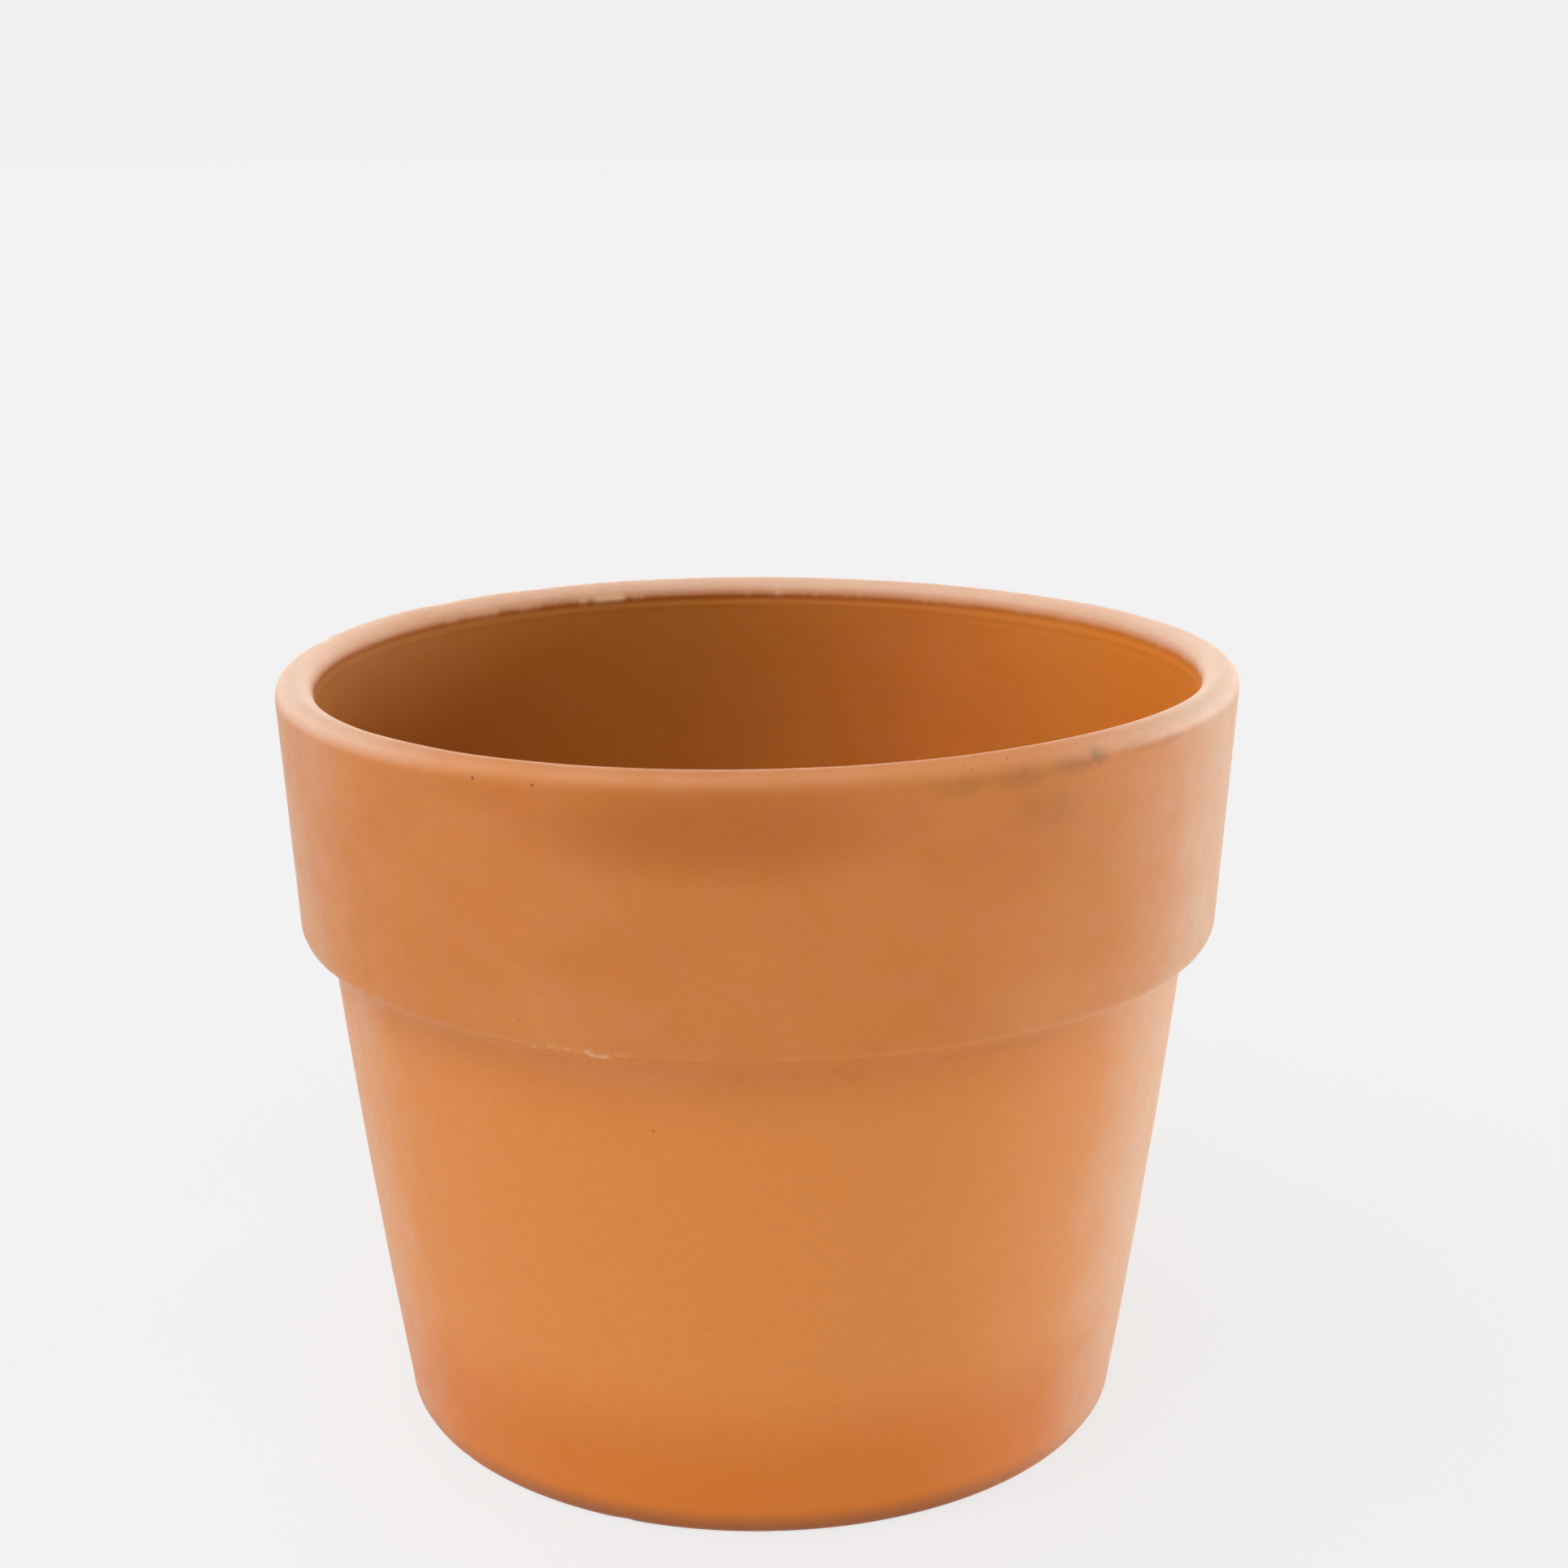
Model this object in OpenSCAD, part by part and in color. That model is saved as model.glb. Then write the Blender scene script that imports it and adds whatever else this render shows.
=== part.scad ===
// Round clay plant pot: a tapered wall under a deep plain collar, open at the
// top, with one drain hole in its floor. Fired in one piece.
// Millimetres, +Z up, origin at the centre of the foot, where the pot stands.

/* [Wall] */
// Overall height, from the foot to the top of the rim
height = 125; // [113:1:137]
// Outer diameter of the wall at the foot
foot_d = 120.6; // [112:0.2:128]
// Outer diameter of the wall where it meets the collar
neck_d = 141.2; // [136:0.2:144]
// How far the wall bulges outwards halfway up
wall_bow = 0.45; // [0:0.05:1.5]
// Rounding of the outer edge of the foot
foot_edge_r = 1.4; // [0.6:0.1:3]

/* [Collar] */
// Height of the collar, from the wall to the top of the rim
collar_h = 44.5; // [35:0.5:55]
// Outer diameter at the collar's lower edge, before it is rounded
collar_d = 150.4; // [148:0.2:154]
// Outer diameter just below the rim, the widest place
rim_d = 155; // [154:0.2:160]
// Rise of the collar's underside, in degrees above horizontal
underside_rise = 19; // [0:1:30]
// Rounding of the collar's lower edge
collar_edge_r = 2.1; // [1:0.1:3]
// Fillet between the wall and the collar's underside
cove_r = 3; // [1:0.1:4]

/* [Rim] */
// Thickness of the clay across the rim
rim_t = 6.2; // [5.2:0.1:7.4]
// Share of the rim's thickness that its outer rounding takes
rim_crown = 0.46; // [0.3:0.01:0.6]
// Depth of the shallow groove under the rim's inner edge
groove_depth = 0.35; // [0.1:0.05:0.8]
// Height of that groove
groove_h = 2.2; // [1.5:0.1:4]

/* [Inside] */
// Inner diameter where the wall would meet the floor
floor_d = 106.6; // [98:0.2:110]
// Thickness of the floor at the foot ring
floor_t = 8; // [6:0.5:12]
// Rounding between the inner wall and the floor
floor_corner_r = 8; // [3:0.5:14]

/* [Underside] */
// Diameter of the drain hole
drain_d = 20; // [10:0.5:26]
// Width of the flat ring that the pot stands on
foot_ring_w = 12; // [8:0.5:20]
// Depth of the hollow inside the foot ring
foot_recess = 1.5; // [0.5:0.1:3]

/* [Hidden] */
$fn = 240;
// Pieces in a quarter turn of a rounding, and in the bowed wall
arc_steps = 8;
wall_steps = 12;
// How far the drain hole's cutter passes the clay on each side
overshoot = 1;

foot_r = foot_d / 2;
rim_r = rim_d / 2;
// The corners that the roundings replace: wall to underside, underside to side
neck = [neck_d / 2, height - collar_h];
brow = [collar_d / 2, neck.y + (collar_d / 2 - neck.x) * tan(underside_rise)];
// The rim is two quarter circles, one outside and one inside, with one top
rim_outer_r = rim_t * rim_crown;
rim_inner_r = rim_t - rim_outer_r;
lip_outer = [rim_r, height - rim_outer_r];
lip_inner = [rim_r - rim_t, height - rim_inner_r];
floor_corner = [floor_d / 2, floor_t];
// Angles from vertical of the collar's side and of the inner wall
collar_lean = atan((lip_outer.x - brow.x) / (lip_outer.y - brow.y));
inner_lean = atan((lip_inner.x - floor_corner.x) / (lip_inner.y - floor_corner.y));

// Distance along a direction given in degrees from horizontal
function polar(distance, angle) = distance * [cos(angle), sin(angle)];

// Points of an arc about centre, from one angle to another
function arc(centre, r, from, to) =
    [for (i = [0 : arc_steps]) centre + polar(r, from + (to - from) * i / arc_steps)];

// Rounds the corner where a straight line of direction a1 turns to direction a2
function rounding(corner, r, a1, a2) =
    let (
        turn = a2 - a1,
        side = sign(turn),
        centre = corner - polar(r * tan(abs(turn) / 2), a1) + polar(r, a1 + 90 * side)
    )
    arc(centre, r, a1 - 90 * side, a2 - 90 * side);

// Radius of the bowed wall at the share t of its height
function wall_r(t) = foot_r + (neck.x - foot_r) * t + 4 * wall_bow * t * (1 - t);

// Angle of the wall from vertical, at the share t of its height
function wall_lean(t) = atan((neck.x - foot_r + 4 * wall_bow * (1 - 2 * t)) / neck.y);

// The wall between the foot's rounding and the cove, both left out
function wall_curve() =
    let (
        low = 2 * foot_edge_r / neck.y,
        high = 1 - 2 * cove_r / neck.y
    )
    [for (i = [0 : wall_steps])
        let (t = low + (high - low) * i / wall_steps) [wall_r(t), t * neck.y]];

// The groove, as half a wave in depth along the inner wall
function rim_groove() =
    [for (i = [1 : arc_steps])
        lip_inner - polar(groove_h * i / arc_steps, 90 - inner_lean)
            + [groove_depth * sin(180 * i / arc_steps), 0]];

// Half of the pot's cross-section, from the axis out along the underside,
// up the outside, over the rim and down the inside
function section() = concat(
    [[0, foot_recess], [foot_r - foot_ring_w, foot_recess], [foot_r - foot_ring_w + foot_recess, 0]],
    rounding([foot_r, 0], foot_edge_r, 0, 90 - wall_lean(0)),
    wall_curve(),
    rounding(neck, cove_r, 90 - wall_lean(1), underside_rise),
    rounding(brow, collar_edge_r, underside_rise, 90 - collar_lean),
    arc(lip_outer - [rim_outer_r, 0], rim_outer_r, 0, 90),
    arc(lip_inner + [rim_inner_r, 0], rim_inner_r, 90, 180),
    rim_groove(),
    rounding(floor_corner, floor_corner_r, 270 - inner_lean, 180),
    [[0, floor_t]]
);

// The whole pot: the section turned about Z, less the drain hole
module pot() {
    color([0.81, 0.49, 0.26])
    difference() {
        rotate_extrude()
            polygon(section());
        translate([0, 0, -overshoot])
            cylinder(d = drain_d, h = floor_t + 2 * overshoot);
    }
}

pot();
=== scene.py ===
"""Looks of a terracotta pot: the CAD solid's cross-section, turned again at a finer grain with a hand-finished
rim, pressed clay's small faults and an unglazed clay material. Lengths are in metres, azimuths in degrees
counted from +X, so that -90 is the front."""

import math

import bmesh
import bpy
import numpy as np
from mathutils import Matrix, Vector, noise


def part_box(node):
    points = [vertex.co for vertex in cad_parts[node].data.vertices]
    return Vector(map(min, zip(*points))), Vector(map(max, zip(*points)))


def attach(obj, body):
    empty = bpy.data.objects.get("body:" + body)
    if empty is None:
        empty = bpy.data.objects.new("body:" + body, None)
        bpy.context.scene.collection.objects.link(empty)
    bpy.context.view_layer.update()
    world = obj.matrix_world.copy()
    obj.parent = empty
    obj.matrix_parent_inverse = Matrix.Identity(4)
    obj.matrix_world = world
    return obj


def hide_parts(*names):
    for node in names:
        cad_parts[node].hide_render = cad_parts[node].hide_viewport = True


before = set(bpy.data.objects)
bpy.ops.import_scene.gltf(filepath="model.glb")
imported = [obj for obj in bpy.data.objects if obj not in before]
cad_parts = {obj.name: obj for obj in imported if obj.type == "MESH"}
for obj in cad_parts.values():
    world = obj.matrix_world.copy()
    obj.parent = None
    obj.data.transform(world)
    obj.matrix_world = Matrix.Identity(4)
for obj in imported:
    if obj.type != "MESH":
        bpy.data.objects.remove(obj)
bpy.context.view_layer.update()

MM = 0.001
CAD_LOW, CAD_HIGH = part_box("pot")
TOP = CAD_HIGH.z
RIM_RADIUS = CAD_HIGH.x

# The CAD solid's own places and sizes. A flare is the radius gained for each unit of height
RIM_MID_RADIUS = RIM_RADIUS - 3.1 * MM
RIM_ROUND = 2.85 * MM
LIP_Z = TOP - 3.4 * MM
GROOVE_DEPTH = 0.35 * MM
GROOVE_HEIGHT = 2.2 * MM
COLLAR_EDGE_Z = TOP - 43 * MM
COLLAR_RADIUS = 75.3 * MM
COLLAR_FLARE = 0.057
FOOT_RADIUS = 60.5 * MM
WALL_FLARE = 0.125
HOLE_RADIUS = 10 * MM

# Studio: the backdrop's radiance at the horizon and overhead, and the sines of the elevations between which
# it fades
BACKDROP = 0.88
OVERHEAD = 0.0
FADE_FROM = 0.06
FADE_TO = 0.30
# The floor's radius, colour and glow
FLOOR_RADIUS = 12
FLOOR_GREY = 0.15
FLOOR_GLOW = 0.745
# Lamps: the azimuth and elevation that the light comes from and its spread, in degrees, and its strength
LAMPS = [
    (0, 8, 50, 0.25),
    (90, 8, 50, 1.25),
    (180, 8, 50, 0.40),
    (20, 4, 24, 1.60),
    (50, 4, 24, 0.40),
    (135, 25, 60, 0.15),
    (180, 60, 70, 1.35),
    (270, 60, 70, 1.30),
]

# The photograph's view: where the camera stands, how it is turned, in degrees, and its lens
CAMERA_PLACE = (0, -400 * MM, 208.5 * MM)
CAMERA_YAW = -0.606
CAMERA_DIP = 14.87
CAMERA_ROLL = -0.151
CAMERA_LENS = 57.53
CAMERA_SENSOR = 36

# Mesh: how finely the section is sampled and rounded, and the segments and spacing of the rings
SECTION_STEP = 0.05 * MM
EDGE_SOFTNESS = 0.22 * MM
FINE_SEGMENTS = 1080
COARSE_SEGMENTS = 360
RIM_SPACING = 0.42 * MM
OUTER_SPACING = 3.2 * MM
INNER_SPACING = 3.6 * MM
FLOOR_SPACING = 3.4 * MM
# The leaning line past which rings take the outer spacing, as a share of the rim's radius at the foot and
# what it gains up to the top. The whole outside lies past it, and so does the inside's upper half
OUTER_FROM = 0.702
OUTER_FROM_GAIN = 0.198


def cad_section(node):
    """The (radius, height) loop that a CAD node cuts in the half-plane y = 0, x > 0, anticlockwise."""
    mesh = bmesh.new()
    mesh.from_mesh(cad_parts[node].data)
    bmesh.ops.remove_doubles(mesh, verts=mesh.verts, dist=1e-6)
    everything = mesh.verts[:] + mesh.edges[:] + mesh.faces[:]
    cut = bmesh.ops.bisect_plane(mesh, geom=everything, plane_co=(0, 0, 0), plane_no=(0, 1, 0))["geom_cut"]
    neighbours = {}
    for edge in cut:
        if isinstance(edge, bmesh.types.BMEdge) and min(v.co.x for v in edge.verts) > 0:
            a, b = edge.verts
            neighbours.setdefault(a, []).append(b)
            neighbours.setdefault(b, []).append(a)
    start = min(neighbours, key=lambda v: v.co.x + v.co.z)
    loop, here = [start], neighbours[start][0]
    while here is not start:
        loop.append(here)
        here = next(v for v in neighbours[here] if v is not loop[-2])
    points = np.array([(v.co.x, v.co.z) for v in loop])
    mesh.free()
    r, z = points.T
    area = np.sum(r * np.roll(z, -1) - np.roll(r, -1) * z)
    return points if area > 0 else points[::-1]


def resample(loop, positions):
    """Points of a closed loop at the given distances along it."""
    closed = np.vstack([loop, loop[:1]])
    along = np.concatenate([[0], np.cumsum(np.hypot(*np.diff(closed, axis=0).T))])
    return np.column_stack([np.interp(positions, along, closed[:, i]) for i in (0, 1)])


def loop_length(loop):
    """The length of a closed loop."""
    return np.hypot(*(np.roll(loop, -1, axis=0) - loop).T).sum()


def soften(loop, width):
    """Rounds a finely sampled loop's corners, as wear and the clay's grain do."""
    reach = int(4 * width / SECTION_STEP)
    offsets = np.arange(-reach, reach + 1)
    weights = np.exp(-0.5 * (offsets * SECTION_STEP / width) ** 2)
    weights /= weights.sum()
    return sum(w * np.roll(loop, int(-k), axis=0) for k, w in zip(offsets, weights))


def bell(x, centre, width):
    """A smooth bump that is 1 at centre and falls away on both sides."""
    return np.exp(-(((x - centre) / width) ** 2))


def ramp(x, low, high):
    """0 below low, 1 above high, and straight between them."""
    return np.clip((x - low) / (high - low), 0, 1)


def turn_bell(azimuth, centre, width):
    """A bell over an azimuth in degrees, going round past 180."""
    away = (azimuth - centre + 180) % 360 - 180
    return np.exp(-((away / width) ** 2))


def ring_spacing(r, z):
    """How far apart the rings lie at each point of the section: least at the rim and the other edges."""
    outer = r > RIM_RADIUS * (OUTER_FROM + OUTER_FROM_GAIN * z / TOP)
    spacing = np.where(outer, OUTER_SPACING, INNER_SPACING)
    spacing = np.where(z < 12 * MM, FLOOR_SPACING, spacing)
    spacing = np.where(z > TOP - 7 * MM, RIM_SPACING, spacing)
    collar_edge = bell(z, COLLAR_EDGE_Z - 1.2 * MM, 4 * MM) * outer
    foot_edge = bell(z, 0, 1.6 * MM) * (r > 55 * MM)
    hole_edge = bell(r, HOLE_RADIUS, 1.2 * MM) * (z < 10 * MM)
    return spacing * (1 - 0.84 * np.maximum(collar_edge, foot_edge)) * (1 - 0.72 * hole_edge)


def ring_profile():
    """The section's rings as (radius, height, normal's r, normal's z), in order round the loop."""
    loop = cad_section("pot")
    count = int(loop_length(loop) / SECTION_STEP)
    dense = soften(resample(loop, np.linspace(0, loop_length(loop), count, endpoint=False)), EDGE_SOFTNESS)
    density = 1 / ring_spacing(*dense.T)
    filled = np.concatenate([[0], np.cumsum(density * SECTION_STEP)])
    rings = int(round(filled[-1]))
    picks = np.interp(np.linspace(0, filled[-1], rings, endpoint=False), filled, np.arange(count + 1))
    picks = np.round(picks).astype(int) % count
    forward = np.roll(dense, -4, axis=0) - np.roll(dense, 4, axis=0)
    normals = np.column_stack([forward[:, 1], -forward[:, 0]]) / np.hypot(*forward.T)[:, None]
    return np.hstack([dense[picks], normals[picks]])


def noise_at(points, size, seed):
    """Smooth noise from about -1 to 1 at each point, with lumps about size across."""
    shift = Vector((17.3, 5.1, 9.7)) * seed
    return np.array([noise.noise(Vector(p) / size + shift) for p in points])


def ring_segments(r, z):
    """Segments round each ring: more where flakes, crumbs and chips are modelled."""
    on_rim = z > TOP - 6.6 * MM
    on_collar_edge = (np.abs(z - COLLAR_EDGE_Z) < 2.2 * MM) & (r > 0.93 * RIM_RADIUS)
    return np.where(on_rim | on_collar_edge, FINE_SEGMENTS, COARSE_SEGMENTS)


def rim_fall(azimuth):
    """How far the hand-finished rim stands below the CAD solid's true one, round the pot."""
    a = np.radians(azimuth)
    return (1.05 - 0.49 * np.cos(a) + 0.23 * np.sin(a) + 0.42 * np.sin(2 * a)) * MM


def collar_share(z):
    """How far up the collar a height is, from 0 at its lower edge to 1 at the rim."""
    return ramp(z, COLLAR_EDGE_Z, TOP)


# Chips on the rim's outer shoulder: azimuth, half-width in degrees and depth
RIM_CHIPS = [
    (139, 2.0, 0.30 * MM),
    (123, 4.6, 0.26 * MM),
    (167, 1.5, 0.34 * MM),
]
# Where the lip's inner edge keeps a ragged flash, and the collar's edge its crumbs, with each one's
# azimuth, half-width and strength
FLASH = [(103, 24, 1.0), (-150, 16, 0.4)]
CRUMBS = [(-110.5, 7, 1.0), (-152, 8, 0.5), (62, 10, 0.9), (150, 6, 0.7)]


def shares(azimuth, places):
    """The strongest of several bells round the pot, each (azimuth, half-width, strength)."""
    return np.max([strength * turn_bell(azimuth, centre, width) for centre, width, strength in places], axis=0)


def lip_flash(round_pot, azimuth, z):
    """How far the ragged flash that forming leaves stands out along the lip, from 0 to 1."""
    ragged = noise_at(round_pot, 5 * MM, 4) + 0.5 * noise_at(round_pot, 1.4 * MM, 5)
    strength = 0.16 + 0.84 * shares(azimuth, FLASH)
    return np.clip(1.6 * ragged + 0.1, 0, 1) * strength * bell(z, LIP_Z + 0.4 * MM, 0.75 * MM)


def edge_crumbs(points, azimuth, z):
    """How far crumbs of clay stand out along the collar's lower edge, from 0 to 1."""
    lumps = noise_at(points, 1.5 * MM, 6) + 0.5 * noise_at(points, 0.7 * MM, 7)
    return np.clip(lumps - 0.08, 0, 1) * bell(z, COLLAR_EDGE_Z - 0.1 * MM, 0.6 * MM) * shares(azimuth, CRUMBS)


def rim_chips(points, azimuth, r, z, normal_r):
    """How deep the rim's outer shoulder is chipped, and how fully it is broken, from 0 to 1."""
    shoulder = bell(z, TOP - 0.3 * MM, 0.8 * MM) * ramp(normal_r, -0.18, 0.12) * (r > 0.9 * RIM_RADIUS)
    rough = shoulder * np.clip(0.75 + 0.5 * noise_at(points, 1.4 * MM, 8), 0, 1.2)
    broken = [turn_bell(azimuth, centre, width) * rough for centre, width, _ in RIM_CHIPS]
    depth = sum(chip[2] * share for chip, share in zip(RIM_CHIPS, broken))
    return depth, np.max(broken, axis=0)


def foot_nicks(points, r, z):
    """How far the foot's outer edge is nicked, from 0 to 1."""
    return np.clip(noise_at(points, 3.2 * MM, 9) - 0.42, 0, 1) * bell(z, 0.6 * MM, 1.1 * MM) * (r > 57 * MM)


def clay_offsets(points, azimuth, r, z, normal_r):
    """How far each vertex moves along its normal, and how much of it is freshly broken clay."""
    outward = normal_r > 0
    lip_side = (r < RIM_MID_RADIUS) & (z > TOP - 9 * MM)
    turn = np.radians(azimuth)
    round_pot = np.column_stack([np.cos(turn), np.sin(turn), np.zeros(len(turn))]) * RIM_RADIUS

    lumps = 0.10 * noise_at(points, 34 * MM, 1) + 0.04 * noise_at(points, 11 * MM, 2) - 0.13
    thickness = 0.24 * noise_at(round_pot, 42 * MM, 3) * lip_side * ramp(z, TOP - 9 * MM, TOP - 4 * MM)
    flash = lip_flash(round_pot, azimuth, z) * lip_side
    crumbs = edge_crumbs(points, azimuth, z) * outward
    nicks = foot_nicks(points, r, z) * outward
    chip_depth, chips = rim_chips(points, azimuth, r, z, normal_r)

    # In millimetres, as lumps and thickness are too
    unevenness = lumps * ramp(z, 0, 2 * MM) + thickness + 0.42 * flash + 0.55 * crumbs - 0.5 * nicks
    fresh = np.clip(2.2 * chips + 1.2 * crumbs + 0.9 * flash, 0, 1)
    return unevenness * MM - chip_depth, fresh


def wear_and_highlight_shares(fresh, z, normal_r, normal_z):
    """What the material needs to know at each vertex: broken clay, the rim's rubbing and painted highlight,
    and the inside.
    """
    near_rim = ramp(z, TOP - 4.2 * MM, TOP - 2.8 * MM)
    # Pale on the rim's upper side: rubbing and a painted highlight
    rubbed_and_highlight = near_rim * ramp(normal_z, -0.05, 0.65) * (0.82 + 0.30 * np.clip(normal_r, -0.7, 0.7))
    inner_floor = (z < 20 * MM) & (normal_z > 0.3)
    inside = ((normal_r < 0) | inner_floor) * ramp(TOP - z, 1.2 * MM, 3.4 * MM)
    return np.column_stack([fresh, rubbed_and_highlight, inside, np.ones(len(z))])


def retool_groove(azimuth, r, z):
    """Fills the CAD solid's even groove under the lip, and cuts a shallower one that wanders and fades."""
    inside = (r < RIM_MID_RADIUS) & (z > TOP - 12 * MM)
    below = np.clip(LIP_Z - z, 0, None)
    filled = GROOVE_DEPTH * np.sin(np.pi * ramp(below, 0, GROOVE_HEIGHT))
    depth = (0.03 + 0.25 * turn_bell(azimuth, 112, 58)) * MM
    cut = depth * np.sin(np.pi * ramp(below, 0, GROOVE_HEIGHT / 2))
    line = (1.2 + 2.0 * turn_bell(azimuth, 30, 60)) * MM
    ridge = 0.03 * MM * bell(below, line, 0.35 * MM) * (1 - turn_bell(azimuth, -10, 60))
    return (filled - cut + ridge) * inside


def pot_vertices(rings):
    """Every ring's vertices, moved as the clay is uneven, with their wear and painted highlight."""
    counts = ring_segments(rings[:, 0], rings[:, 1])
    r, z, normal_r, normal_z = (np.repeat(rings[:, i], counts) for i in range(4))
    azimuth = np.concatenate([np.arange(n) * 360 / n for n in counts])
    cos, sin = np.cos(np.radians(azimuth)), np.sin(np.radians(azimuth))
    points = np.column_stack([r * cos, r * sin, z])
    offset, fresh = clay_offsets(points, azimuth, r, z, normal_r)
    offset += retool_groove(azimuth, r, z)
    wear = wear_and_highlight_shares(fresh, z, normal_r, normal_z)

    # The visible pot stays inside the CAD solid's box
    fall = rim_fall(azimuth) * collar_share(z)
    r = np.minimum(r + offset * normal_r, RIM_RADIUS)
    z = np.maximum(z + offset * normal_z - fall, CAD_LOW.z)
    return np.column_stack([r * cos, r * sin, z]), wear, counts


def ring_faces(counts):
    """Faces between each ring and the next, closed round the section. Ring sizes differ by whole factors."""
    starts = np.concatenate([[0], np.cumsum(counts)])
    faces = []
    for i, here in enumerate(counts):
        following = (i + 1) % len(counts)
        there = counts[following]
        cells = min(here, there)
        a, b = here // cells, there // cells
        for j in range(cells):
            near = [starts[i] + k % here for k in range(j * a, (j + 1) * a + 1)]
            far = [starts[following] + k % there for k in range(j * b, (j + 1) * b + 1)]
            faces.append(near + far[::-1])
    return faces


def build_pot():
    """The visible pot, with its wear and painted highlight stored at each vertex."""
    vertices, wear, counts = pot_vertices(ring_profile())
    mesh = bpy.data.meshes.new("clay_pot")
    mesh.from_pydata(vertices.tolist(), [], ring_faces(counts.tolist()))
    mesh.attributes.new("wear", "FLOAT_COLOR", "POINT").data.foreach_set("color", wear.ravel())
    mesh.shade_smooth()
    pot = bpy.data.objects.new("clay_pot", mesh)
    bpy.context.scene.collection.objects.link(pot)
    return pot


class Nodes:
    """Short calls for building one material's node tree."""

    def __init__(self, name):
        self.material = bpy.data.materials.new(name)
        self.material.use_nodes = True
        self.tree = self.material.node_tree
        self.tree.nodes.clear()

    def add(self, kind, inputs=None, **settings):
        """A node with its settings and its inputs, each a value or another node's output."""
        node = self.tree.nodes.new(kind)
        for name, value in settings.items():
            setattr(node, name, value)
        for name, value in (inputs or {}).items():
            if isinstance(value, bpy.types.NodeSocket):
                self.tree.links.new(value, node.inputs[name])
            else:
                node.inputs[name].default_value = value
        return node

    def maths(self, operation, a, b=0.0):
        return self.add("ShaderNodeMath", {0: a, 1: b}, operation=operation).outputs[0]

    def times(self, *shares):
        """The product of two or more shares."""
        product = shares[0]
        for share in shares[1:]:
            product = self.maths("MULTIPLY", product, share)
        return product

    def vector(self, operation, a, b=(0, 0, 0), output="Vector"):
        return self.add("ShaderNodeVectorMath", {0: a, 1: b}, operation=operation).outputs[output]

    def split(self, vector):
        return self.add("ShaderNodeSeparateXYZ", {0: vector}).outputs

    def noise(self, vector, scale, detail=3.0, roughness=0.55):
        inputs = {"Vector": vector, "Scale": scale, "Detail": detail, "Roughness": roughness}
        return self.add("ShaderNodeTexNoise", inputs).outputs["Fac"]

    def cells(self, vector, scale, output):
        """A cell pattern's distance to the nearest centre, or each cell's own colour."""
        return self.add("ShaderNodeTexVoronoi", {"Vector": vector, "Scale": scale}).outputs[output]

    def stretched(self, vector, scale):
        return self.add("ShaderNodeMapping", {"Vector": vector, "Scale": scale}).outputs[0]

    def step(self, value, low, high, to_low=0.0, to_high=1.0):
        """Value carried smoothly from low..high to to_low..to_high."""
        inputs = {"Value": value, "From Min": low, "From Max": high, "To Min": to_low, "To Max": to_high}
        return self.add("ShaderNodeMapRange", inputs, interpolation_type="SMOOTHSTEP").outputs["Result"]

    def mix(self, share, a, b):
        """Two colours mixed. The node's colour inputs are 6 and 7, and its colour output is 2."""
        return self.add("ShaderNodeMix", {"Factor": share, 6: a, 7: b}, data_type="RGBA").outputs[2]

    def blob(self, vector, centre, size):
        """A soft ellipsoid about centre: 1 at its middle, 0 at size from it."""
        scaled = self.vector("DIVIDE", self.vector("SUBTRACT", vector, centre), size)
        length = self.vector("LENGTH", scaled, output="Value")
        return self.step(length, 0.15, 1.0, 1.0, 0.0)


def on_outside(azimuth, height):
    """A point on the pot's outside: on its wall, its collar or the rim's outer rounding."""
    if height < COLLAR_EDGE_Z:
        radius = FOOT_RADIUS + WALL_FLARE * height
    elif height < TOP - RIM_ROUND:
        radius = COLLAR_RADIUS + COLLAR_FLARE * (height - COLLAR_EDGE_Z)
    else:
        radius = RIM_RADIUS - RIM_ROUND + math.sqrt(RIM_ROUND**2 - (height - TOP + RIM_ROUND) ** 2)
    a = math.radians(azimuth)
    return (radius * math.cos(a), radius * math.sin(a), height - rim_fall(azimuth) * collar_share(height))


# Colours, as linear RGBA: the clay itself,
ORANGE = (0.668, 0.205, 0.026, 1)
PEACH = (0.693, 0.223, 0.035, 1)
OCHRE = (0.643, 0.209, 0.022, 1)
ROSY = (0.700, 0.217, 0.068, 1)
# WARM is also painted light on the inside towards +X
WARM = (0.81, 0.268, 0.045, 1)
# clay that is darker on the collar with painted shade under it, more saturated low down, brown for tool lines,
# grain and painted contact shade at the foot, scuffed or pitted,
DARK_AND_SHADE = (0.52, 0.127, 0.004, 1)
DEEP_ORANGE = (0.73, 0.180, 0.003, 1)
BROWN = (0.33, 0.085, 0.008, 1)
SOOT = (0.27, 0.105, 0.030, 1)
PIT = (0.10, 0.040, 0.018, 1)
# the inside: painted shade towards -X and painted light towards +X,
SHADED = (0.40, 0.150, 0.018, 1)
LIT_INSIDE = (0.87, 0.270, 0.028, 1)
# and what is pale: rubbing with a painted highlight on the rim, painted light by the collar's edge, the rim's
# painted highlight, a painted side highlight and fresh breaks
PALE = (0.96, 0.57, 0.37, 1)
RIM_HIGHLIGHT = (0.91, 0.70, 0.56, 1)
PAINTED_SIDE_LIGHT = (0.81, 0.60, 0.435, 1)
CREAM = (1.00, 0.73, 0.42, 1)

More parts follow.
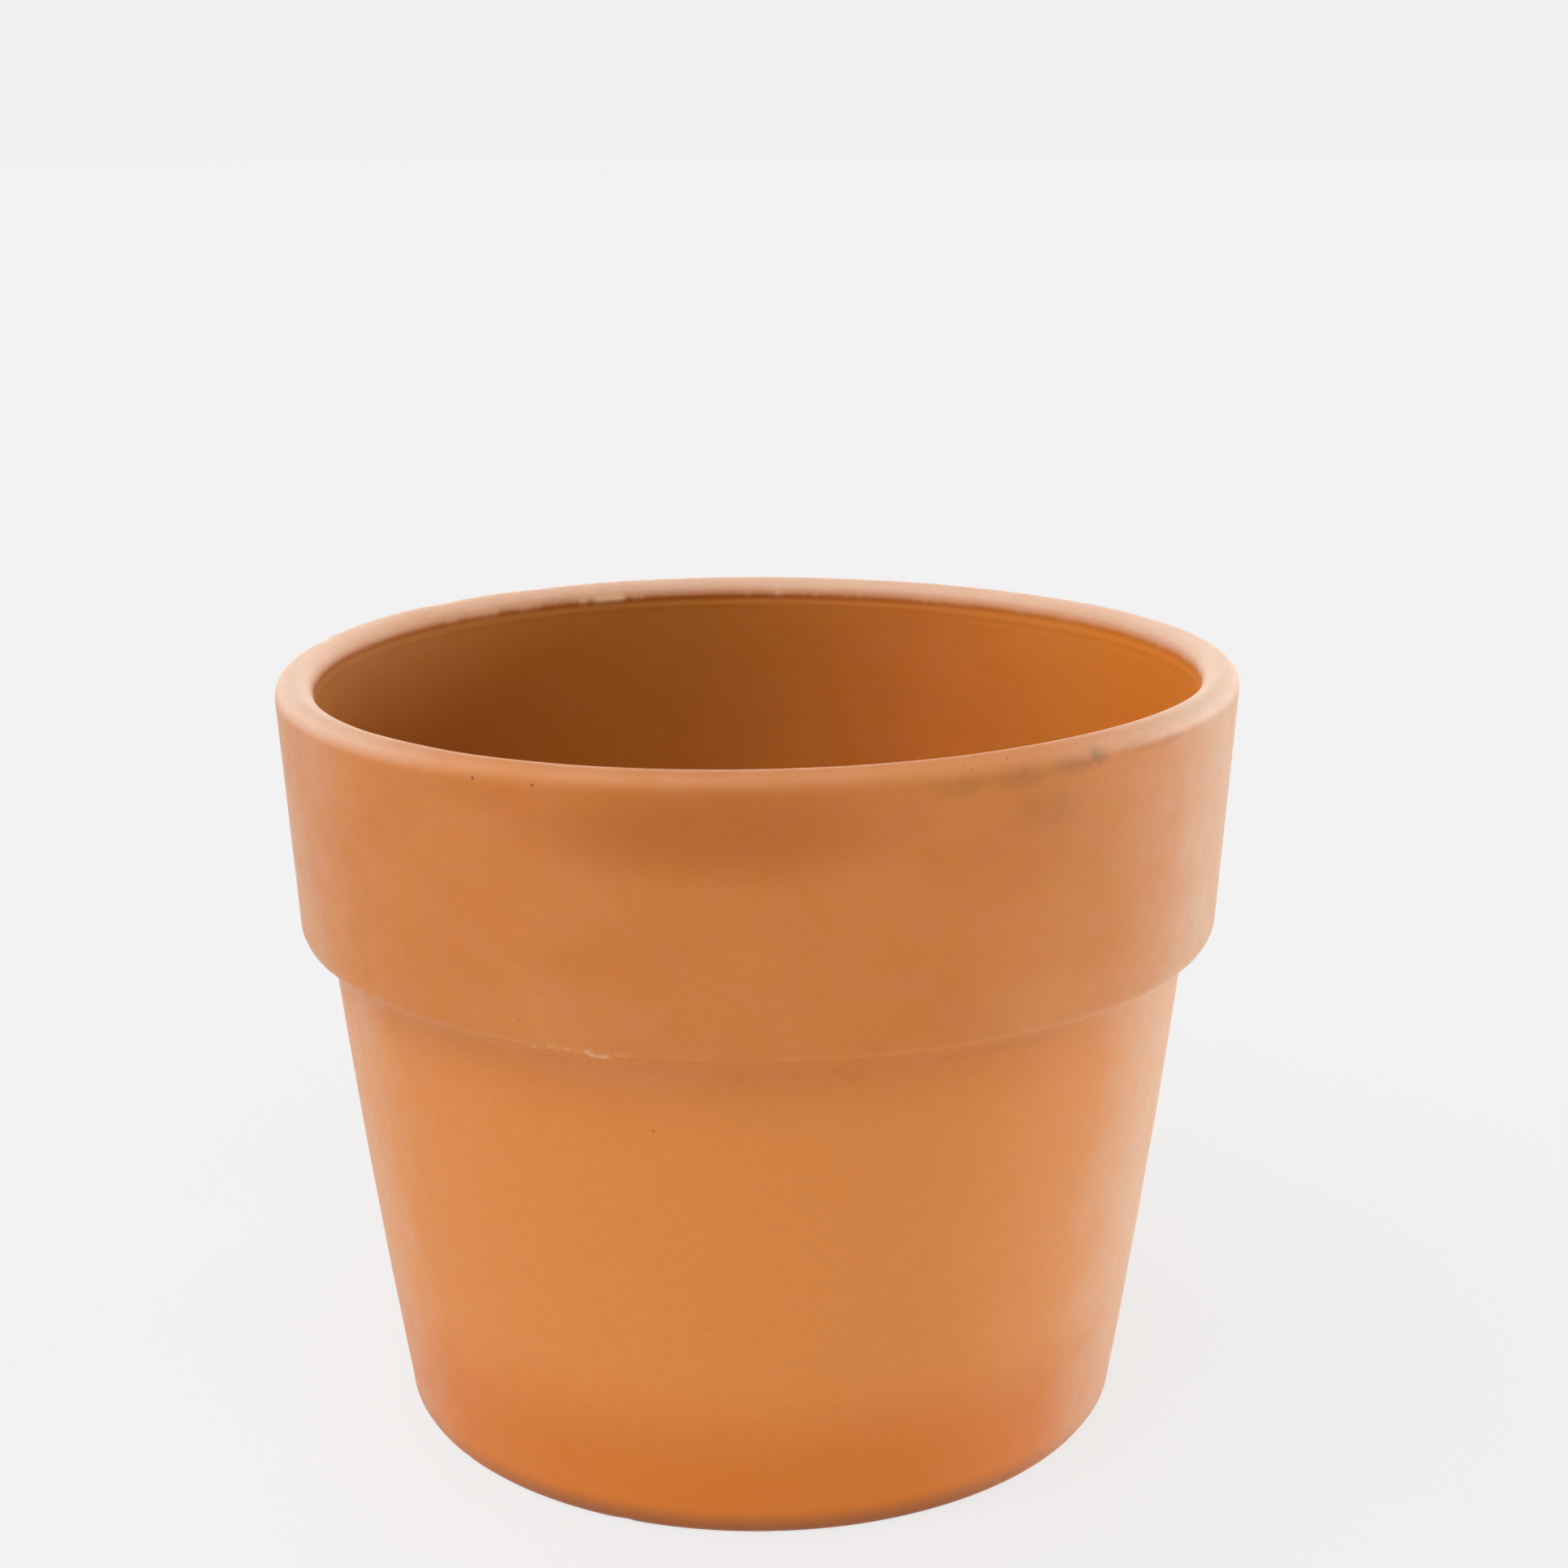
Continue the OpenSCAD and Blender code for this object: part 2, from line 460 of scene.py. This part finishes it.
# Soft marks on the outside: azimuth, height below the top, half-width, half-height and strength.
# Dark scuffs on the rim's shoulder
SCUFFS = [
    (-69, 3.6 * MM, 8 * MM, 1.8 * MM, 0.34),
    (-62, 3.6 * MM, 8 * MM, 2.4 * MM, 0.44),
    (-55.5, 3.2 * MM, 7 * MM, 2.3 * MM, 0.50),
    (-52, 2.6 * MM, 2.6 * MM, 2.4 * MM, 0.75),
    (-58.5, 8.5 * MM, 10 * MM, 5.5 * MM, 0.20),
    (-45, 2.6 * MM, 9 * MM, 1.3 * MM, 0.25),
    (-39, 2.9 * MM, 4.5 * MM, 1.6 * MM, 0.32),
]
# Darker patches on the collar, and painted shade in the angle under it
DARK_AND_SHADE_PATCHES = [
    (-95, 8 * MM, 37 * MM, 11 * MM, 0.80),
    (-118, 5 * MM, 22 * MM, 4 * MM, 0.22),
    (-60, 14 * MM, 24 * MM, 12 * MM, 0.20),
    (-88, 45.4 * MM, 36 * MM, 2.2 * MM, 0.10),
    (-58, 45.4 * MM, 24 * MM, 2.2 * MM, 0.25),
]
# Painted light: paler bands near the collar's lower edge, lighting the angle under it
LIGHT_BANDS = [
    (-112, 37.0 * MM, 24 * MM, 9.0 * MM, 0.05),
    (-108, 47.0 * MM, 26 * MM, 3.5 * MM, 0.06),
    (-56, 40.0 * MM, 24 * MM, 9.0 * MM, 0.06),
    (-45, 43.4 * MM, 20 * MM, 1.6 * MM, 0.30),
    (-20, 43.4 * MM, 24 * MM, 1.8 * MM, 0.40),
    (-150, 42.8 * MM, 16 * MM, 0.8 * MM, 0.15),
]
# Single dark pits and pale grit: azimuth, height below the top and radius
PITS = [
    (-120.5, 2.5 * MM, 0.44 * MM),
    (-113.4, 2.6 * MM, 0.39 * MM),
    (-45.0, 42.6 * MM, 0.49 * MM),
    (-102.7, 55.8 * MM, 0.31 * MM),
    (-68.0, 1.4 * MM, 0.24 * MM),
    (-68.6, 1.0 * MM, 0.22 * MM),
    (-63.6, 0.7 * MM, 0.24 * MM),
    (-41.0, 1.1 * MM, 0.26 * MM),
]
GRIT = [
    (-124.9, 23.1 * MM, 0.34 * MM),
    (-125.8, 25.5 * MM, 0.26 * MM),
    (-116.4, 30.5 * MM, 0.28 * MM),
]


def patches(n, place, marks):
    """The strongest of several soft marks at each point of the surface."""
    share = 0.0
    for azimuth, drop, width, height, strength in marks:
        spot = n.blob(place, on_outside(azimuth, TOP - drop), (width, width, height))
        share = n.maths("MAXIMUM", n.maths("MULTIPLY", spot, strength), share)
    return share


def side_highlight(n, place, inside):
    """A painted pale highlight, heaviest on the side towards +X and faint on the one towards -X."""
    outward = n.vector("MULTIPLY", place, (1, 1, 0))
    radius = n.vector("LENGTH", outward, output="Value")
    drift = n.step(n.noise(place, 40, 4), 0.3, 0.7, -0.03, 0.03)
    facing = n.maths("ADD", n.split(n.vector("NORMALIZE", outward))[0], drift)
    heavy = n.maths("ADD", n.step(facing, 0.68, 0.93, 0.0, 0.54), n.step(facing, 0.35, 0.75, 0.0, 0.08))
    faint = n.step(facing, -0.98, -0.75, 0.30, 0.0)
    mottle = n.step(n.noise(place, 110, 4), 0.3, 0.7, 0.8, 1.0)
    _, depth, height = n.split(place)
    behind = n.step(depth, -5 * MM, 50 * MM, 1.0, 0.35)
    low_down = n.step(height, 4 * MM, 32 * MM, 0.75, 1.0)
    outside = n.times(n.step(inside, 0.0, 1.0, 1.0, 0.0), n.step(radius, 50 * MM, 58 * MM))
    return n.times(n.maths("MAXIMUM", heavy, faint), mottle, behind, low_down, outside)


def body_colour(n, place):
    """Fired clay: soft blotches, warmer on the wall, darker on the collar with painted shade and painted light
    bands by its lower edge, more saturated low down and painted contact shade at the foot.
    """
    _, depth, height = n.split(place)
    colour = n.mix(n.step(n.noise(place, 75, 4), 0.36, 0.64), ORANGE, PEACH)
    colour = n.mix(n.step(n.noise(place, 40, 3), 0.50, 0.72, 0.0, 0.55), colour, OCHRE)
    colour = n.mix(n.step(n.noise(place, 170, 4), 0.40, 0.62, 0.0, 0.30), colour, ROSY)
    on_wall = n.times(n.step(height, 3 * MM, 26 * MM), n.step(height, 66 * MM, 88 * MM, 1.0, 0.0))
    colour = n.mix(n.times(on_wall, 0.85), colour, WARM)
    # Darker patches on the collar, and painted shade in the angle under it
    colour = n.mix(patches(n, place, DARK_AND_SHADE_PATCHES), colour, DARK_AND_SHADE)
    # Painted light in paler bands by the collar's lower edge
    colour = n.mix(patches(n, place, LIGHT_BANDS), colour, PALE)
    # More saturated low down
    colour = n.mix(n.step(height, 8 * MM, 30 * MM, 0.9, 0.0), colour, DEEP_ORANGE)
    # Painted contact shade along the foot's lowest edge, strongest at the front
    at_foot = n.step(height, 0.3 * MM, 4.6 * MM, 1.0, 0.0)
    return n.mix(n.times(at_foot, n.step(depth, -56 * MM, -36 * MM, 1.0, 0.4)), colour, BROWN)


def inside_colour(n, colour, place, inside):
    """The inner wall, with painted shade in brown towards -X and painted light in bright orange towards +X."""
    side = n.split(place)[0]
    # Painted shade towards -X, then painted light towards +X
    colour = n.mix(n.times(inside, n.step(side, -20 * MM, 40 * MM, 0.78, 0.0)), colour, SHADED)
    colour = n.mix(n.times(inside, n.step(side, 20 * MM, 60 * MM, 0.0, 0.8)), colour, WARM)
    return n.mix(n.times(inside, n.step(side, 46 * MM, 74 * MM)), colour, LIT_INSIDE)


def scuff_share(n, place):
    """How dark the rim's scuffs are: soft marks with ragged edges and a rough middle."""
    ragged = n.add("ShaderNodeTexNoise", {"Vector": place, "Scale": 300, "Detail": 5}).outputs["Color"]
    wander = n.vector("MULTIPLY", n.vector("SUBTRACT", ragged, (0.5, 0.5, 0.5)), (3.6 * MM,) * 3)
    loose = n.vector("ADD", place, wander)
    return n.times(patches(n, loose, SCUFFS), n.step(n.noise(place, 420, 4), 0.30, 0.68, 0.62, 1.0))


def rim_colour(n, colour, place, rubbed_and_highlight):
    """The rim, pale from rubbing and a painted highlight, most at the back, with a further painted highlight
    at the back and on both flanks.
    """
    side, depth, _ = n.split(place)
    patchy = n.step(n.noise(place, 130, 4), 0.3, 0.7, 0.75, 1.0)
    # Pale from rubbing and a painted highlight
    colour = n.mix(n.times(rubbed_and_highlight, patchy, n.step(depth, -60 * MM, 20 * MM, 0.22, 1.0)), colour, PALE)
    # A further painted highlight at the back and on both flanks
    flanks = n.step(n.maths("ABSOLUTE", side), 35 * MM, 72 * MM, 0.0, 0.62)
    rim_highlight_share = n.maths("MAXIMUM", n.step(depth, 0.0, 60 * MM, 0.0, 0.65), flanks)
    return n.mix(n.times(rubbed_and_highlight, rim_highlight_share), colour, RIM_HIGHLIGHT)


def clay_colour(n, place, fresh, rubbed_and_highlight, inside):
    """The clay's colour with all its wear and its painted light and shade, before its specks."""
    colour = inside_colour(n, body_colour(n, place), place, inside)
    # A painted pale highlight on the side towards +X
    colour = n.mix(side_highlight(n, place, inside), colour, PAINTED_SIDE_LIGHT)
    colour = n.mix(scuff_share(n, place), colour, SOOT)
    colour = rim_colour(n, colour, place, rubbed_and_highlight)
    return n.mix(n.times(fresh, 0.9), colour, CREAM)


def spots(n, place, marks):
    """Where small round marks lie, each given as azimuth, height below the top and radius."""
    share = 0.0
    for azimuth, drop, radius in marks:
        share = n.maths("MAXIMUM", share, n.blob(place, on_outside(azimuth, TOP - drop), (radius,) * 3))
    return share


def pores(n, place):
    """Faint dark pores, in about a third of the cells of a fine pattern."""
    near_centre = n.step(n.cells(place, 210, "Distance"), 0.02, 0.07, 1.0, 0.0)
    chosen = n.step(n.cells(place, 210, "Color"), 0.62, 0.66)
    return n.times(near_centre, chosen, 0.20)


def relief(n, place, streaks, inside):
    """The surface's normal, bumped by its grain, small lumps and the streaks of turning."""
    grain = n.maths("ADD", n.times(n.noise(place, 2400, 2), 0.30), n.times(n.noise(place, 300, 5), 0.8))
    height = n.maths("ADD", grain, n.times(streaks, n.step(inside, 0.0, 1.0, 0.20, 0.15)))
    return n.add("ShaderNodeBump", {"Strength": 0.5, "Distance": 0.08 * MM, "Height": height}).outputs[0]


def terracotta():
    """The clay's material, which reads the mesh's wear and painted highlight and its own place on the pot."""
    n = Nodes("terracotta")
    place = n.add("ShaderNodeTexCoord").outputs["Object"]
    wear = n.add("ShaderNodeAttribute", attribute_name="wear").outputs["Color"]
    fresh, rubbed_and_highlight, inside = n.add("ShaderNodeSeparateColor", {0: wear}).outputs[:3]
    streaks = n.noise(n.stretched(place, (16, 16, 800)), 1.0, 3)

    tooled = n.times(inside, n.step(streaks, 0.40, 0.66, 0.01, 0.045))
    sandy = n.step(n.noise(place, 700, 3, 0.6), 0.38, 0.66, 0.0, 0.045)
    colour = clay_colour(n, place, fresh, rubbed_and_highlight, inside)
    colour = n.mix(n.maths("MAXIMUM", tooled, sandy), colour, BROWN)
    dark = n.maths("MAXIMUM", spots(n, place, PITS), pores(n, place))
    colour = n.mix(n.times(dark, 0.85), colour, PIT)
    colour = n.mix(n.times(spots(n, place, GRIT), 0.7), colour, CREAM)

    drier = n.times(n.maths("MAXIMUM", inside, rubbed_and_highlight), 0.16)
    shader = n.add("ShaderNodeBsdfPrincipled", {
        "Base Color": colour,
        "Roughness": n.maths("ADD", n.step(n.noise(place, 240, 3), 0.3, 0.7, 0.42, 0.52), drier),
        "Normal": relief(n, place, streaks, inside),
        "IOR": 1.5,
        "Specular IOR Level": n.step(inside, 0.0, 1.0, 0.40, 0.15),
    })
    n.add("ShaderNodeOutputMaterial", {"Surface": shader.outputs[0]})
    return n.material


def floor_paint():
    """A lit white panel, so that the floor stays pale and shadowless round the pot."""
    n = Nodes("studio_floor")
    shader = n.add("ShaderNodeBsdfPrincipled", {
        "Base Color": (FLOOR_GREY, FLOOR_GREY, FLOOR_GREY, 1),
        "Roughness": 1.0,
        "Specular IOR Level": 0.0,
        "Emission Color": (1, 1, 1, 1),
        "Emission Strength": FLOOR_GLOW,
    })
    n.add("ShaderNodeOutputMaterial", {"Surface": shader.outputs[0]})
    return n.material


def build_world():
    """Pale round the horizon, where it meets the floor, and dim overhead."""
    world = bpy.data.worlds.new("studio")
    world.use_nodes = True
    nodes, links = world.node_tree.nodes, world.node_tree.links
    direction = nodes.new("ShaderNodeTexCoord")
    split = nodes.new("ShaderNodeSeparateXYZ")
    fade = nodes.new("ShaderNodeMapRange")
    fade.interpolation_type = "SMOOTHSTEP"
    limits = {"From Min": FADE_FROM, "From Max": FADE_TO, "To Min": BACKDROP, "To Max": OVERHEAD}
    for name, value in limits.items():
        fade.inputs[name].default_value = value
    links.new(direction.outputs["Generated"], split.inputs[0])
    links.new(split.outputs["Z"], fade.inputs["Value"])
    links.new(fade.outputs["Result"], nodes["Background"].inputs["Strength"])
    nodes["Background"].inputs["Color"].default_value = (1, 1, 1, 1)
    bpy.context.scene.world = world


def build_floor():
    """A wide floor that the pot stands on."""
    mesh = bpy.data.meshes.new("floor")
    work = bmesh.new()
    bmesh.ops.create_circle(work, cap_ends=True, segments=128, radius=FLOOR_RADIUS)
    work.to_mesh(mesh)
    work.free()
    mesh.materials.append(floor_paint())
    floor = bpy.data.objects.new("floor", mesh)
    floor.location.z = CAD_LOW.z
    bpy.context.scene.collection.objects.link(floor)


def build_lights():
    """Broad, soft lamps far off, each aimed at the pot from its azimuth and elevation."""
    for azimuth, elevation, width, strength in LAMPS:
        data = bpy.data.lights.new(f"lamp_{azimuth}_{elevation}", "SUN")
        data.angle = math.radians(width)
        data.energy = strength
        lamp = bpy.data.objects.new(data.name, data)
        a, e = math.radians(azimuth), math.radians(elevation)
        towards = Vector((math.cos(a) * math.cos(e), math.sin(a) * math.cos(e), math.sin(e)))
        lamp.rotation_euler = towards.to_track_quat("Z", "Y").to_euler()
        bpy.context.scene.collection.objects.link(lamp)


def build_camera():
    """The photograph's view: from the front at table-top distance, a little above the rim."""
    data = bpy.data.cameras.new("camera")
    data.sensor_width = CAMERA_SENSOR
    data.lens = CAMERA_LENS
    data.clip_start = 10 * MM
    yaw = Matrix.Rotation(math.radians(CAMERA_YAW), 4, "Z")
    tilt = Matrix.Rotation(math.radians(90 - CAMERA_DIP), 4, "X")
    roll = Matrix.Rotation(math.radians(CAMERA_ROLL), 4, "Z")
    camera = bpy.data.objects.new("camera", data)
    camera.matrix_world = Matrix.Translation(CAMERA_PLACE) @ yaw @ tilt @ roll
    bpy.context.scene.collection.objects.link(camera)
    bpy.context.scene.camera = camera


pot = build_pot()
pot.data.materials.append(terracotta())
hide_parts("pot")
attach(pot, "root")

build_world()
build_floor()
build_lights()
build_camera()
bpy.context.scene.view_settings.view_transform = "Standard"
